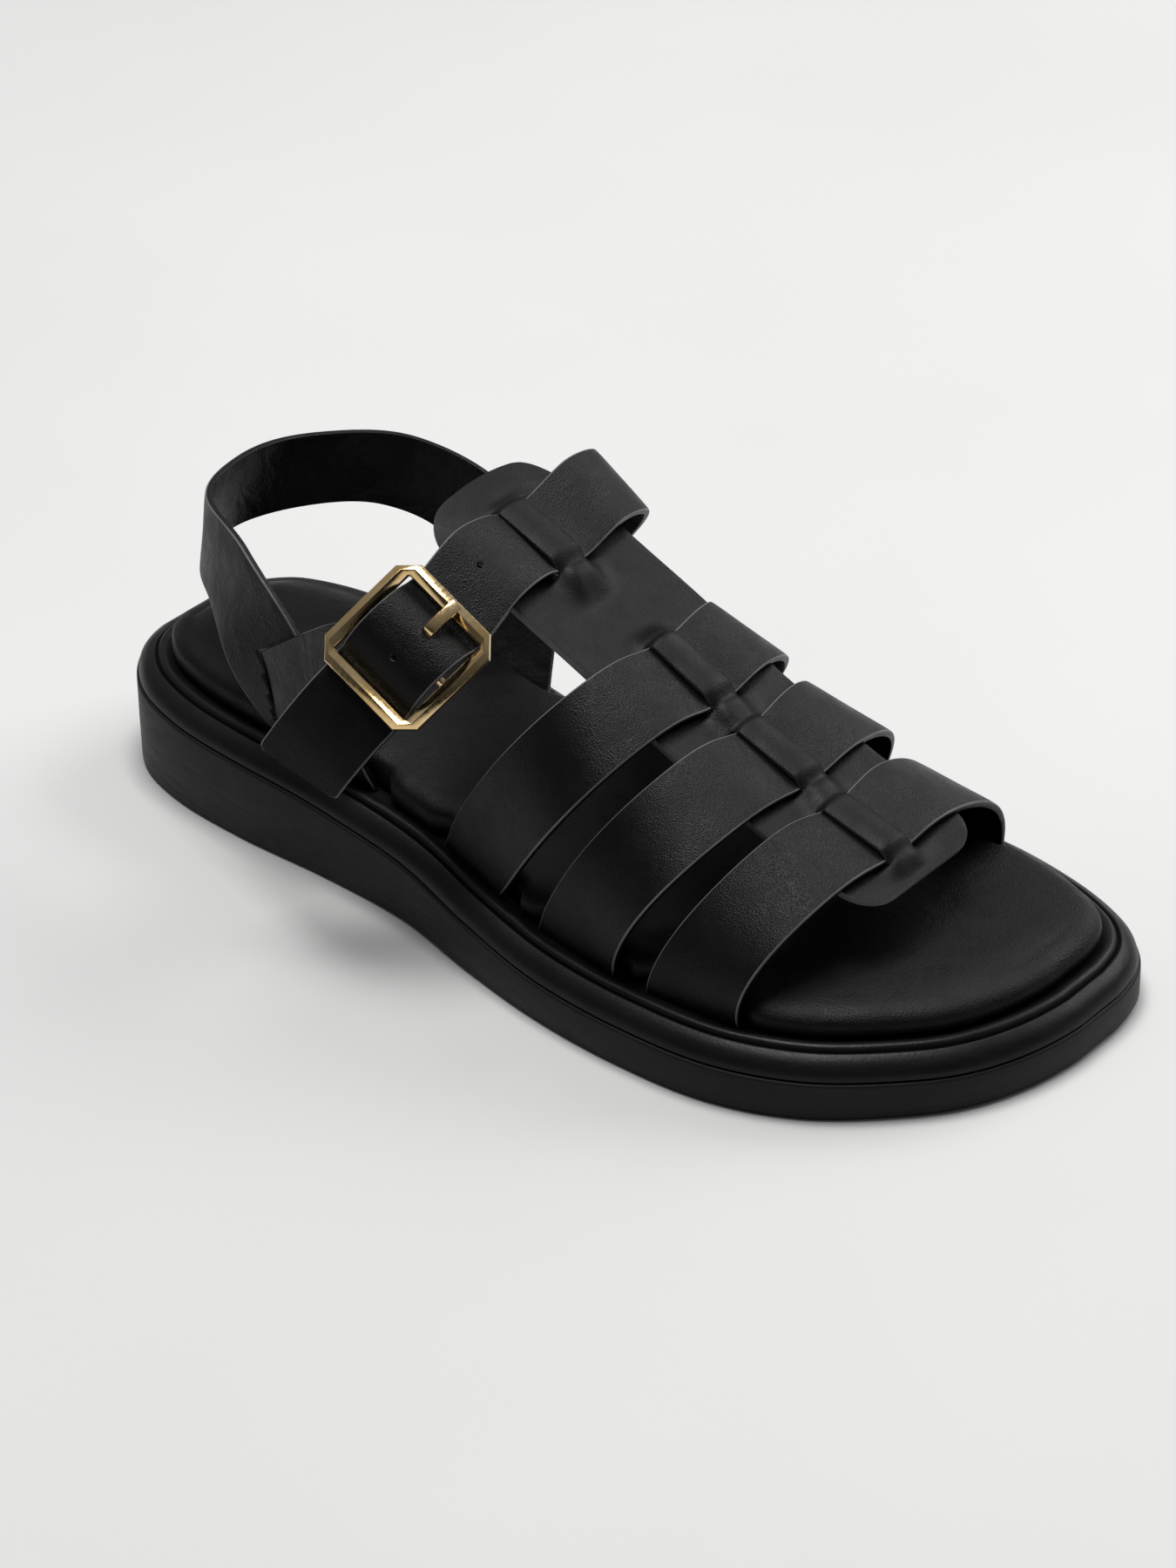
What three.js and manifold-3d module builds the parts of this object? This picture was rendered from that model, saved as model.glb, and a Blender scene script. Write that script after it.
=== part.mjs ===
// A right gladiator sandal, standing on its sole.
// Millimetres. +Y points to the toe, +X to the wearer's outer side, +Z up.
// The origin is on the ground, under the middle of the whole sandal, buckle included.
import * as THREE from "three";
import { mergeVertices } from "three/addons/utils/BufferGeometryUtils.js";
import Module from "manifold-3d";

const wasm = await Module();
wasm.setup();

// ---------------------------------------------------------------- dimensions
const GAP = 0.3;
const LEATHER = 2.2;
const STRAP_STEPS = 30;
const ROW_STEPS = 3;

// Outsole outline: inner and outer edge of the foot at stations from heel to toe.
const OUTLINE = [
  { y: -132.0, inner: -1.5, outer: 11.0 },
  { y: -128.8, inner: -14.5, outer: 20.8 },
  { y: -118.5, inner: -26.8, outer: 31.2 },
  { y: -103.0, inner: -33.2, outer: 37.2 },
  { y: -80.0, inner: -35.8, outer: 40.2 },
  { y: -50.0, inner: -35.6, outer: 41.0 },
  { y: -25.0, inner: -33.8, outer: 43.4 },
  { y: 0.0, inner: -38.4, outer: 50.2 },
  { y: 25.0, inner: -47.6, outer: 55.6 },
  { y: 50.0, inner: -53.8, outer: 57.9 },
  { y: 75.0, inner: -55.4, outer: 56.6 },
  { y: 95.0, inner: -52.9, outer: 49.2 },
  { y: 111.0, inner: -48.2, outer: 36.4 },
  { y: 121.5, inner: -42.4, outer: 24.0 },
  { y: 128.2, inner: -34.0, outer: 9.0 },
  { y: 131.2, inner: -21.5, outer: -7.0 },
];

// Heights along the foot: underside, top of the outsole wall, edge of the footbed's top,
// and how much the footbed's middle stands over that edge.
const HEIGHTS = [
  { y: -132, under: 0.0, wall: 23.6, bed: 35.6, crown: 2.2 },
  { y: -100, under: 0.0, wall: 21.6, bed: 35.0, crown: 3.0 },
  { y: -68, under: 0.0, wall: 20.0, bed: 33.6, crown: 2.6 },
  { y: -43, under: 0.0, wall: 17.2, bed: 30.8, crown: 1.8 },
  { y: -21, under: 0.0, wall: 14.8, bed: 28.0, crown: 1.2 },
  { y: 3, under: 0.0, wall: 12.0, bed: 24.9, crown: 0.9 },
  { y: 24, under: 0.0, wall: 10.2, bed: 22.9, crown: 0.9 },
  { y: 60, under: 0.0, wall: 9.8, bed: 22.3, crown: 0.7 },
  { y: 90, under: 0.0, wall: 9.7, bed: 22.0, crown: 0.8 },
  { y: 131, under: 0.6, wall: 9.2, bed: 21.2, crown: 0.8 },
];

// Rings of each sole layer: distance in from the outline, height above the wall top.
const WELT_RINGS = [
  { inset: 1.4, rise: GAP },
  { inset: 0.7, rise: 0.6 },
  { inset: 1.1, rise: 1.9 },
  { inset: 2.2, rise: 3.3 },
  { inset: 3.3, rise: 4.6 },
  { inset: 4.3, rise: 4.5 },
  { inset: 5.0, rise: 4.1 },
  { inset: 5.5, rise: 6.0 },
  { inset: 6.9, rise: 7.3 },
  { inset: 8.4, rise: 7.0 },
  { inset: 9.4, rise: 5.6 },
];
const SEAT = 5.6;
const BED_RINGS = [
  { inset: 12.0, rise: SEAT + GAP },
  { inset: 10.3, rise: 6.8 },
  { inset: 9.9, rise: 8.8 },
];
const BED_EDGE = [
  { inset: 10.7, below: 1.9 },
  { inset: 12.8, below: 0.7 },
];

// Grooves across the tread: middle station, for forefoot and heel.
const TREAD_GROOVES = [-112, -96, -80, 34, 52, 70, 88];
const GROOVE = { width: 4, depth: 2, inset: 7 };

// Centre strip: top face height along the foot, and the lanes across it.
const STRIP = { inner: -23.3, outer: 19.3, rear: -37.2, front: 91.6, corner: 9 };
const STRIP_TOP = [
  { y: -38, z: 92.0 },
  { y: -27, z: 87.7 },
  { y: -9, z: 79.0 },
  { y: 12, z: 69.4 },
  { y: 34, z: 58.2 },
  { y: 60, z: 47.3 },
  { y: 75, z: 42.3 },
  { y: 92, z: 37.4 },
];
// Bridges of the centre strip over the straps: rear end, front end, and the slits either side.
const BRIDGES = [
  { rear: -27.0, front: -9.0, inner: -7.9, outer: 3.9 },
  { rear: 16.3, front: 33.8, inner: -9.0, outer: 2.4 },
  { rear: 41.4, front: 59.7, inner: -8.4, outer: 3.1 },
  { rear: 67.0, front: 85.3, inner: -6.7, outer: 5.2 },
];
const BRIDGE_RISE = 4.4;
const BRIDGE_RAMP = 2.6;

// Vamp straps: rear and front edge of each, as an arch from the outer to the inner side.
// reach: widest x on each side, foot: y where the edge goes into the sole on each side,
// crown: y and height at the top, press: how far the bridge holds the middle down.
const VAMP = [
  {
    rear: {
      outer: 38.0, inner: -35.5, footOuter: -18, footInner: -18, y: 16,
      z: 72.2, power: 3.4, sweep: 1.2, press: 3.2,
    },
    front: {
      outer: 49.0, inner: -44.5, footOuter: 3.5, footInner: 5, y: 34,
      z: 62.8, power: 2.8, sweep: 0.95, press: 3.4,
    },
  },
  {
    rear: {
      outer: 44.4, inner: -40.9, footOuter: 17.5, footInner: 21, y: 41.4,
      z: 60.4, power: 2.7, sweep: 1.25, press: 4.4,
    },
    front: {
      outer: 52.6, inner: -48.2, footOuter: 42, footInner: 46, y: 59.7,
      z: 50.8, power: 2.6, sweep: 1.3, press: 2.3,
    },
  },
  {
    rear: {
      outer: 48.8, inner: -48.0, footOuter: 51.5, footInner: 61, y: 67,
      z: 51.2, power: 1.9, sweep: 1.4, press: 5.1,
    },
    front: {
      outer: 51.4, inner: -49.0, footOuter: 76, footInner: 82, y: 85.2,
      z: 43.0, power: 2.15, sweep: 1.5, press: 2.4,
    },
  },
];
const PRESS_HALF_WIDTH = 8.5;
const FOOT_INSET = 9.7;

// Buckle: square frame with clipped corners, in its own axes.
// along: across the strap towards the toe, down: along the strap towards the tail, out: off the foot.
const BUCKLE = {
  centre: new THREE.Vector3(43.5, -20.0, 76.1),
  along: new THREE.Vector3(-0.018, 0.864, -0.503).normalize(),
  down: new THREE.Vector3(0.759, -0.339, -0.556),
  side: 30.6,
  opening: 23.6,
  clip: 4.0,
  thick: 2.8,
  bar: 1.2,
};

// Ankle strap past the buckle, along and off the buckle's plane. Its end is cut slanting.
const TAIL_SLANT = 5;
const TAIL_PATH = [
  { down: 35.2, out: -11.7 },
  { down: 30, out: -8.3 },
  { down: 21, out: -4.6 },
  { down: 13.5, out: -3.2 },
  { down: 10.2, out: -2.4 },
  { down: 7.6, out: 0.9 },
  { down: 4.0, out: 3.8 },
  { down: 0, out: 4.6 },
  { down: -4.0, out: 3.8 },
  { down: -7.6, out: 0.9 },
  { down: -10.2, out: -2.4 },
  { down: -13.5, out: -3.2 },
];
const ANKLE_WIDTH = 22.2;

// Ankle strap from the buckle over the instep to the inner slit of the heel band.
const ANKLE_ROWS = [
  { rear: [20, -25.8, 93.0], front: [19, -7.3, 82.0] },
  { rear: [9.5, -26.3, 92.0], front: [8.0, -8.4, 82.3] },
  { rear: [1.5, -26.9, 89.2], front: [1.0, -9.0, 80.3] },
  { rear: [-6.6, -27.0, 89.5], front: [-7.6, -9.0, 80.6] },
  { rear: [-21, -26.8, 93.6], front: [-21, -9.4, 83.6] },
  { rear: [-32, -28.0, 91.2], front: [-32, -11.6, 80.4] },
  { rear: [-39.5, -34.5, 81.4], front: [-38.3, -17.6, 72.6] },
  { rear: [-43.2, -46.5, 69.6], front: [-40.8, -28.0, 60.2] },
  { rear: [-43.0, -57.0, 58.6], front: [-40.0, -38.5, 49.0] },
  { rear: [-40.8, -64.5, 51.4], front: [-37.0, -47.0, 41.2] },
];

// Heel band: lower and upper edge from the outer side, round the heel, to the inner side.
const BAND_ROWS = [
  { lower: [30.4, -68.0, 26.4], upper: [30.6, -43.0, 23.4] },
  { lower: [35.8, -72.0, 34.0], upper: [35.6, -47.5, 40.0] },
  { lower: [38.6, -79.5, 46.5], upper: [36.9, -59.0, 61.0] },
  { lower: [29.2, -93.9, 54.6], upper: [30.6, -80.8, 74.4] },
  { lower: [17.0, -108.4, 54.8], upper: [17.4, -104.6, 75.7] },
  { lower: [-2.0, -116.0, 54.6], upper: [-2.4, -111.8, 75.4] },
  { lower: [-18.5, -108.8, 55.2], upper: [-22.5, -105.8, 74.6] },
  { lower: [-32.5, -95.6, 54.2], upper: [-38.4, -88.8, 72.2] },
  { lower: [-38.6, -79.0, 48.0], upper: [-43.6, -64.5, 64.0] },
  { lower: [-35.6, -69.0, 35.5], upper: [-38.8, -46.0, 46.0] },
  { lower: [-25.4, -64.0, 26.2], upper: [-24.2, -36.0, 23.0] },
];

// Buckle strap: from the outer slit of the heel band to the buckle's centre bar.
const BUCKLE_STRAP_ROWS = [
  { rear: [34.4, -73.5, 52.0], front: [33.4, -70.5, 34.5] },
  { rear: [38.4, -68.5, 55.8], front: [37.3, -65.5, 37.8] },
  { rear: [41.0, -54.6, 66.0], front: [40.4, -49.0, 48.0] },
  { rear: [42.9, -41.5, 74.4], front: [42.5, -32.0, 59.4] },
];
const BUCKLE_STRAP_END = [
  { down: 3.4, out: -5.6, shift: -3.2 },
  { down: 0.4, out: -2.9, shift: -0.6 },
  { down: -1.4, out: -2.6, shift: 0 },
];
const BUCKLE_STRAP_WIDTH = 17;

// Prong: along the strap and off the buckle's plane, from the centre bar to its tip.
const PRONG_PATH = [
  { down: 1.4, out: 2.15 },
  { down: -3.0, out: 2.5 },
  { down: -8.0, out: 2.75 },
  { down: -13.0, out: 2.55 },
  { down: -14.4, out: 2.3 },
];
const PRONG = { width: 2.6, thick: 1.2, shift: 1.3 };

// ------------------------------------------------------------------- helpers
const vector = (p) => new THREE.Vector3(p[0], p[1], p[2]);

// Value of one column of a table at a station, on a smooth curve through its rows.
function column(rows, at, name) {
  let i = 0;
  while (i < rows.length - 2 && at > rows[i + 1].y) {
    i += 1;
  }
  const slope = (j) => {
    const before = rows[Math.max(j - 1, 0)];
    const after = rows[Math.min(j + 1, rows.length - 1)];
    return (after[name] - before[name]) / (after.y - before.y);
  };
  const span = rows[i + 1].y - rows[i].y;
  const t = Math.min(Math.max((at - rows[i].y) / span, 0), 1);
  const a = 1 + t * t * (2 * t - 3);
  const b = t * t * (3 - 2 * t);
  const c = t * (t - 1) * (t - 1);
  const d = t * t * (t - 1);
  return a * rows[i][name] + b * rows[i + 1][name] + span * (c * slope(i) + d * slope(i + 1));
}

function toSolid(geometry) {
  const bare = geometry.clone();
  bare.deleteAttribute("normal");
  bare.deleteAttribute("uv");
  const merged = mergeVertices(bare, 1e-4);
  return new wasm.Manifold(
    new wasm.Mesh({
      numProp: 3,
      vertProperties: new Float32Array(merged.attributes.position.array),
      triVerts: new Uint32Array(merged.index.array),
    }),
  );
}

function toGeometry(solid) {
  const mesh = solid.getMesh();
  const geometry = new THREE.BufferGeometry();
  geometry.setAttribute("position", new THREE.BufferAttribute(mesh.vertProperties, 3));
  geometry.setIndex(new THREE.BufferAttribute(mesh.triVerts, 1));
  geometry.computeVertexNormals();
  return geometry;
}

function fromTriangles(points, triangles) {
  const geometry = new THREE.BufferGeometry();
  geometry.setAttribute(
    "position",
    new THREE.Float32BufferAttribute(points.flatMap((p) => [p.x, p.y, p.z]), 3),
  );
  geometry.setIndex(triangles.flat());
  return geometry;
}

const join = (solids) => solids.reduce((all, solid) => all.add(solid));

// ---------------------------------------------------------------- sole rings
const outlineCurve = new THREE.CatmullRomCurve3(
  [
    ...OUTLINE.map((row) => new THREE.Vector3(row.outer, row.y, 0)),
    ...[...OUTLINE].reverse().map((row) => new THREE.Vector3(row.inner, row.y, 0)),
  ],
  true,
  "centripetal",
);

// The outline as a ring of points: outer side from heel to toe, then inner side back.
function outlineRing(inset) {
  const count = 2 * OUTLINE.length;
  const half = (OUTLINE.length - 1) * ROW_STEPS + 1;
  const ring = [];
  for (let i = 0; i < 2 * half; i += 1) {
    const row = i < half ? i / ROW_STEPS : OUTLINE.length + (i - half) / ROW_STEPS;
    const point = outlineCurve.getPoint(row / count);
    const tangent = outlineCurve.getTangent(row / count);
    ring.push(new THREE.Vector3(point.x - tangent.y * inset, point.y + tangent.x * inset, 0));
  }
  return ring;
}

// x of the outline, moved in by an inset, at a station on one side.
function sideX(y, side, inset) {
  const ring = outlineRing(inset);
  const half = ring.length / 2;
  const run = side > 0 ? ring.slice(0, half) : ring.slice(half).reverse();
  let i = 0;
  while (i < run.length - 2 && y > run[i + 1].y) {
    i += 1;
  }
  const t = (y - run[i].y) / (run[i + 1].y - run[i].y);
  return run[i].x + (run[i + 1].x - run[i].x) * t;
}

function ringAt(inset, height) {
  const ring = outlineRing(inset);
  ring.forEach((p) => {
    p.z = height(p.y);
  });
  return ring;
}

// A closed solid from rings stacked from bottom to top, capped straight across.
function stack(rings, crown = () => 0) {
  const points = rings.flat();
  const count = rings[0].length;
  const half = count / 2;
  const triangles = [];
  for (let k = 0; k < rings.length - 1; k += 1) {
    for (let i = 0; i < count; i += 1) {
      const j = (i + 1) % count;
      const low = k * count;
      const high = low + count;
      triangles.push([low + i, low + j, high + j], [low + i, high + j, high + i]);
    }
  }
  for (let i = 0; i < half - 1; i += 1) {
    const a = i;
    const b = i + 1;
    const c = count - 2 - i;
    const d = count - 1 - i;
    triangles.push([a, c, b], [a, d, c]);
  }
  const top = (rings.length - 1) * count;
  const middle = [];
  for (let i = 1; i < half - 1; i += 1) {
    const centre = points[top + i].clone().add(points[top + count - 1 - i]).multiplyScalar(0.5);
    centre.z += crown(centre.y);
    middle.push(points.length);
    points.push(centre);
  }
  for (let i = 0; i < half - 1; i += 1) {
    const a = top + i;
    const b = top + i + 1;
    const c = top + count - 2 - i;
    const d = top + count - 1 - i;
    const near = middle[i - 1];
    const far = middle[i];
    if (near === undefined) {
      triangles.push([a, b, far], [a, far, d], [d, far, c]);
    } else if (far === undefined) {
      triangles.push([a, b, near], [near, b, c], [near, c, d]);
    } else {
      triangles.push([a, b, far], [a, far, near], [near, far, c], [near, c, d]);
    }
  }
  return toSolid(fromTriangles(points, triangles));
}

const under = (y) => Math.max(column(HEIGHTS, y, "under"), 0);
const wall = (y) => column(HEIGHTS, y, "wall");
const bed = (y) => column(HEIGHTS, y, "bed");

// ------------------------------------------------------------------- ribbons
// A strip of leather through rows of left and right edge points.
// spread widens it on each side and thickens it, for the room that it needs.
function ribbon(rows, steps, thick, spread = 0) {
  const left = new THREE.CatmullRomCurve3(rows.map((row) => row[0]), false, "centripetal");
  const right = new THREE.CatmullRomCurve3(rows.map((row) => row[1]), false, "centripetal");
  const points = [];
  const triangles = [];
  const half = thick / 2 + spread;
  const sections = [];
  for (let i = 0; i <= steps; i += 1) {
    sections.push([left.getPoint(i / steps), right.getPoint(i / steps)]);
  }
  const middles = sections.map(([a, b]) => a.clone().add(b).multiplyScalar(0.5));
  sections.forEach(([a, b], i) => {
    const ahead = middles[Math.min(i + 1, steps)];
    const behind = middles[Math.max(i - 1, 0)];
    const across = b.clone().sub(a).normalize();
    const normal = across.clone().cross(ahead.clone().sub(behind)).normalize();
    const l = a.clone().addScaledVector(across, -spread);
    const r = b.clone().addScaledVector(across, spread);
    points.push(
      l.clone().addScaledVector(normal, -half),
      r.clone().addScaledVector(normal, -half),
      r.clone().addScaledVector(normal, half),
      l.clone().addScaledVector(normal, half),
    );
  });
  for (let i = 0; i < steps; i += 1) {
    for (let k = 0; k < 4; k += 1) {
      const a = 4 * i + k;
      const b = 4 * i + ((k + 1) % 4);
      triangles.push([a, b + 4, b], [a, a + 4, b + 4]);
    }
  }
  const end = 4 * steps;
  triangles.push([0, 1, 2], [0, 2, 3], [end, end + 2, end + 1], [end, end + 3, end + 2]);
  return toSolid(fromTriangles(points, triangles));
}

// One edge of a vamp strap, as points from the outer foot over the top to the inner foot.
function archEdge(edge, middle, steps, sink) {
  const points = [];
  for (let i = 0; i <= steps; i += 1) {
    const angle = (Math.PI * i) / steps;
    const side = Math.cos(angle) >= 0 ? 1 : -1;
    const reach = side > 0 ? edge.outer : edge.inner;
    const footY = side > 0 ? edge.footOuter : edge.footInner;
    const footX = sideX(footY, side, FOOT_INSET);
    const footZ = wall(footY) + SEAT + GAP - sink;
    const along = Math.pow(Math.abs(Math.cos(angle)), 2 / edge.power);
    const lift = Math.pow(Math.abs(Math.sin(angle)), 2 / edge.power);
    const tuck = (reach - footX) * (1 - lift) * (1 - lift) * along;
    const x = middle + along * (reach - middle) - tuck;
    const press = edge.press * Math.exp(-(((x - middle) / PRESS_HALF_WIDTH) ** 2));
    points.push(
      new THREE.Vector3(
        x,
        footY + (edge.y - footY) * Math.pow(lift, edge.sweep),
        footZ + (edge.z - footZ) * lift - press,
      ),
    );
  }
  return points;
}

function vampStrap(strap, middle, spread) {
  const rear = archEdge(strap.rear, middle, STRAP_STEPS, spread);
  const front = archEdge(strap.front, middle, STRAP_STEPS, spread);
  return ribbon(rear.map((p, i) => [p, front[i]]), STRAP_STEPS, LEATHER, spread);
}

// ----------------------------------------------------------------- sole unit
function buildOutsole() {
  const rings = [
    ringAt(1.2, under),
    ringAt(0, (y) => under(y) + 1.2),
    ringAt(0, (y) => wall(y) - 0.5),
    ringAt(0.5, wall),
  ];
  const body = stack(rings);
  const field = stack([ringAt(GROOVE.inset, () => -5), ringAt(GROOVE.inset, () => 5)]);
  const grooves = TREAD_GROOVES.map((y) => {
    const box = new THREE.BoxGeometry(160, GROOVE.width, 2 * GROOVE.depth);
    box.translate(0, y, 0);
    return toSolid(box);
  });
  return body.subtract(join(grooves).intersect(field));
}

function buildWelt() {
  return stack(WELT_RINGS.map((row) => ringAt(row.inset, (y) => wall(y) + row.rise)));
}

function buildFootbed() {
  const rings = [
    ...BED_RINGS.map((row) => ringAt(row.inset, (y) => wall(y) + row.rise)),
    ...BED_EDGE.map((row) => ringAt(row.inset, (y) => bed(y) - row.below)),
  ];
  return stack(rings, (y) => column(HEIGHTS, y, "crown"));
}

// --------------------------------------------------------------- centre strip
// Rise of the middle lane over the straps at a station.
function bridgeRise(y) {
  let rise = 0;
  BRIDGES.forEach((bridge) => {
    const climb = (y - (bridge.rear - BRIDGE_RAMP)) / BRIDGE_RAMP;
    const drop = (bridge.front + BRIDGE_RAMP - y) / BRIDGE_RAMP;
    rise = Math.max(rise, Math.min(climb, drop, 1));
  });
  return rise * BRIDGE_RISE;
}

function lane(inner, outer, rear, front, rise) {
  const steps = Math.ceil((front - rear) / 2.6);
  const rows = [];
  for (let i = 0; i <= steps; i += 1) {
    const y = rear + ((front - rear) * i) / steps;
    const z = column(STRIP_TOP, y, "z") - LEATHER / 2 + rise(y);
    rows.push([new THREE.Vector3(outer, y, z), new THREE.Vector3(inner, y, z)]);
  }
  return ribbon(rows.map(([a, b]) => [b, a]).reverse(), steps, LEATHER);
}

function buildCentreStrip() {
  const slab = lane(STRIP.inner, STRIP.outer, STRIP.rear, STRIP.front, () => 0);
  const windows = [];
  const bridges = [];
  BRIDGES.forEach((bridge) => {
    const window = new THREE.BoxGeometry(
      bridge.outer - bridge.inner,
      bridge.front - bridge.rear + 0.6,
      60,
    );
    const middle = (bridge.rear + bridge.front) / 2;
    window.translate((bridge.inner + bridge.outer) / 2, middle, column(STRIP_TOP, middle, "z"));
    windows.push(toSolid(window));
    bridges.push(
      lane(
        bridge.inner,
        bridge.outer,
        bridge.rear - BRIDGE_RAMP - 0.8,
        bridge.front + BRIDGE_RAMP + 0.8,
        bridgeRise,
      ),
    );
  });
  const shape = new THREE.Shape();
  const { inner, outer, rear, front, corner } = STRIP;
  shape.moveTo(inner + corner, rear);
  shape.lineTo(outer - corner, rear);
  shape.quadraticCurveTo(outer, rear, outer, rear + corner);
  shape.lineTo(outer, front - corner);
  shape.quadraticCurveTo(outer, front, outer - corner, front);
  shape.lineTo(inner + corner, front);
  shape.quadraticCurveTo(inner, front, inner, front - corner);
  shape.lineTo(inner, rear + corner);
  shape.quadraticCurveTo(inner, rear, inner + corner, rear);
  const mould = new THREE.ExtrudeGeometry(shape, {
    depth: 100,
    bevelEnabled: false,
    curveSegments: 5,
  });
  mould.translate(0, 0, 10);
  return join([slab.subtract(join(windows)), ...bridges]).intersect(toSolid(mould));
}

// -------------------------------------------------------------------- buckle
const buckleOut = BUCKLE.along.clone().cross(BUCKLE.down).normalize().negate();
const buckleDown = BUCKLE.along.clone().cross(buckleOut).normalize();

function buckleAxes() {
  const right = BUCKLE.along.clone();
  const out = buckleOut.clone();
  const down = out.clone().cross(right).normalize();
  return new THREE.Matrix4().makeBasis(right, down, out).setPosition(BUCKLE.centre);
}

const axes = buckleAxes();

// A point given along, down and out of the buckle.
function atBuckle(along, down, out) {
  const sign = buckleDown.dot(BUCKLE.down) > 0 ? 1 : -1;
  return BUCKLE.centre
    .clone()
    .addScaledVector(BUCKLE.along, along)
    .addScaledVector(buckleDown, sign * down)
    .addScaledVector(buckleOut, out);
}

function buckleFrame(room) {
  const half = BUCKLE.side / 2 + room;
  const clip = BUCKLE.clip + 0.4 * room;
  const hole = BUCKLE.opening / 2 - room;
  const bevel = 0.7;
  const shape = new THREE.Shape();
  const corners = [
    [half - bevel, half - clip],
    [half - clip, half - bevel],
    [clip - half, half - bevel],
    [bevel - half, half - clip],
    [bevel - half, clip - half],
    [clip - half, bevel - half],
    [half - clip, bevel - half],
    [half - bevel, clip - half],
  ];
  corners.forEach(([x, y], i) => (i === 0 ? shape.moveTo(x, y) : shape.lineTo(x, y)));
  shape.closePath();
  const inside = new THREE.Path();
  const edge = hole + bevel;
  inside.moveTo(-edge, -edge);
  inside.lineTo(-edge, edge);
  inside.lineTo(edge, edge);
  inside.lineTo(edge, -edge);
  inside.closePath();
  shape.holes.push(inside);
  const depth = BUCKLE.thick + 2 * room - 2 * bevel;
  const frame = new THREE.ExtrudeGeometry(shape, {
    depth,
    bevelEnabled: true,
    bevelThickness: bevel,
    bevelSize: bevel,
    bevelSegments: 2,
    curveSegments: 4,
  });
  frame.translate(0, 0, -depth / 2);
  frame.applyMatrix4(axes);
  const bar = new THREE.CylinderGeometry(BUCKLE.bar + room, BUCKLE.bar + room, BUCKLE.opening + 2, 12);
  bar.rotateZ(Math.PI / 2);
  bar.applyMatrix4(axes);
  return toSolid(frame).add(toSolid(bar));
}

function buckleProng(spread) {
  const half = PRONG.width / 2;
  const rows = PRONG_PATH.map((p) => [
    atBuckle(PRONG.shift + half, p.down, p.out),
    atBuckle(PRONG.shift - half, p.down, p.out),
  ]);
  return ribbon(rows, 10, PRONG.thick, spread);
}

// ------------------------------------------------------------- ankle and heel
function ankleStrap() {
  const half = ANKLE_WIDTH / 2;
  const rows = [
    ...TAIL_PATH.map((p) => [atBuckle(-half, p.down, p.out), atBuckle(half, p.down, p.out)]),
    ...ANKLE_ROWS.map((row) => [vector(row.rear), vector(row.front)]),
  ];
  const tailEnd = rows[0];
  tailEnd[0].addScaledVector(tailEnd[0].clone().sub(rows[1][0]).normalize(), TAIL_SLANT);
  return ribbon(rows, 64, LEATHER);
}

function heelBand(spread) {
  const rows = BAND_ROWS.map((row) => [vector(row.lower), vector(row.upper)]);
  return ribbon(rows, 40, LEATHER, spread);
}

function buckleStrap(spread) {
  const half = BUCKLE_STRAP_WIDTH / 2;
  const rows = [
    ...BUCKLE_STRAP_ROWS.map((row) => [vector(row.front), vector(row.rear)]),
    ...BUCKLE_STRAP_END.map((p) => [
      atBuckle(p.shift + half, p.down, p.out),
      atBuckle(p.shift - half, p.down, p.out),
    ]),
  ];
  return ribbon(rows, 20, 2.0, spread);
}

// ------------------------------------------------------------------- assembly
const bridgeMiddle = (i) => (BRIDGES[i].inner + BRIDGES[i].outer) / 2;
const vampStraps = VAMP.map((strap, i) => vampStrap(strap, bridgeMiddle(i + 1), 0));
const strapRoom = join([
  ...VAMP.map((strap, i) => vampStrap(strap, bridgeMiddle(i + 1), GAP)),
  heelBand(GAP),
]);
const metalRoom = buckleFrame(GAP).add(buckleProng(GAP));

const outsole = buildOutsole();
const welt = buildWelt().subtract(strapRoom);
const footbed = buildFootbed().subtract(strapRoom);
const upper = join([
  buildCentreStrip(),
  ...vampStraps,
  ankleStrap().subtract(metalRoom),
  heelBand(0).subtract(buckleStrap(GAP)),
]);
const strapToBuckle = buckleStrap(0).subtract(metalRoom);
const frame = buckleFrame(0);
const prong = buckleProng(0);

const RUBBER = { color: 0x1b1b1d, roughness: 0.62, metalness: 0 };
const WELT_RUBBER = { color: 0x1d1d1f, roughness: 0.45, metalness: 0 };
const BLACK_LEATHER = { color: 0x18181a, roughness: 0.5, metalness: 0 };
const FOOTBED_LEATHER = { color: 0x141415, roughness: 0.6, metalness: 0 };
const GOLD = { color: 0xe6c891, roughness: 0.2, metalness: 1 };

const group = new THREE.Group();

function addPiece(name, solid, look) {
  const mesh = new THREE.Mesh(toGeometry(solid), new THREE.MeshStandardMaterial(look));
  mesh.name = name;
  group.add(mesh);
}

addPiece("outsole", outsole, RUBBER);
addPiece("welt", welt, WELT_RUBBER);
addPiece("footbed", footbed, FOOTBED_LEATHER);
addPiece("upper", upper, BLACK_LEATHER);
addPiece("buckle_strap", strapToBuckle, BLACK_LEATHER);
addPiece("buckle_frame", frame, GOLD);
addPiece("buckle_prong", prong, GOLD);

const middle = new THREE.Box3().setFromObject(group).getCenter(new THREE.Vector3());
group.children.forEach((mesh) => mesh.geometry.translate(-middle.x, -middle.y, 0));

export default group;
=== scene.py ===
"""A right gladiator sandal, standing on a pale floor. Shoe sizes are in millimetres."""

import math

import bmesh
import bpy
from mathutils import Matrix, Vector


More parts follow.
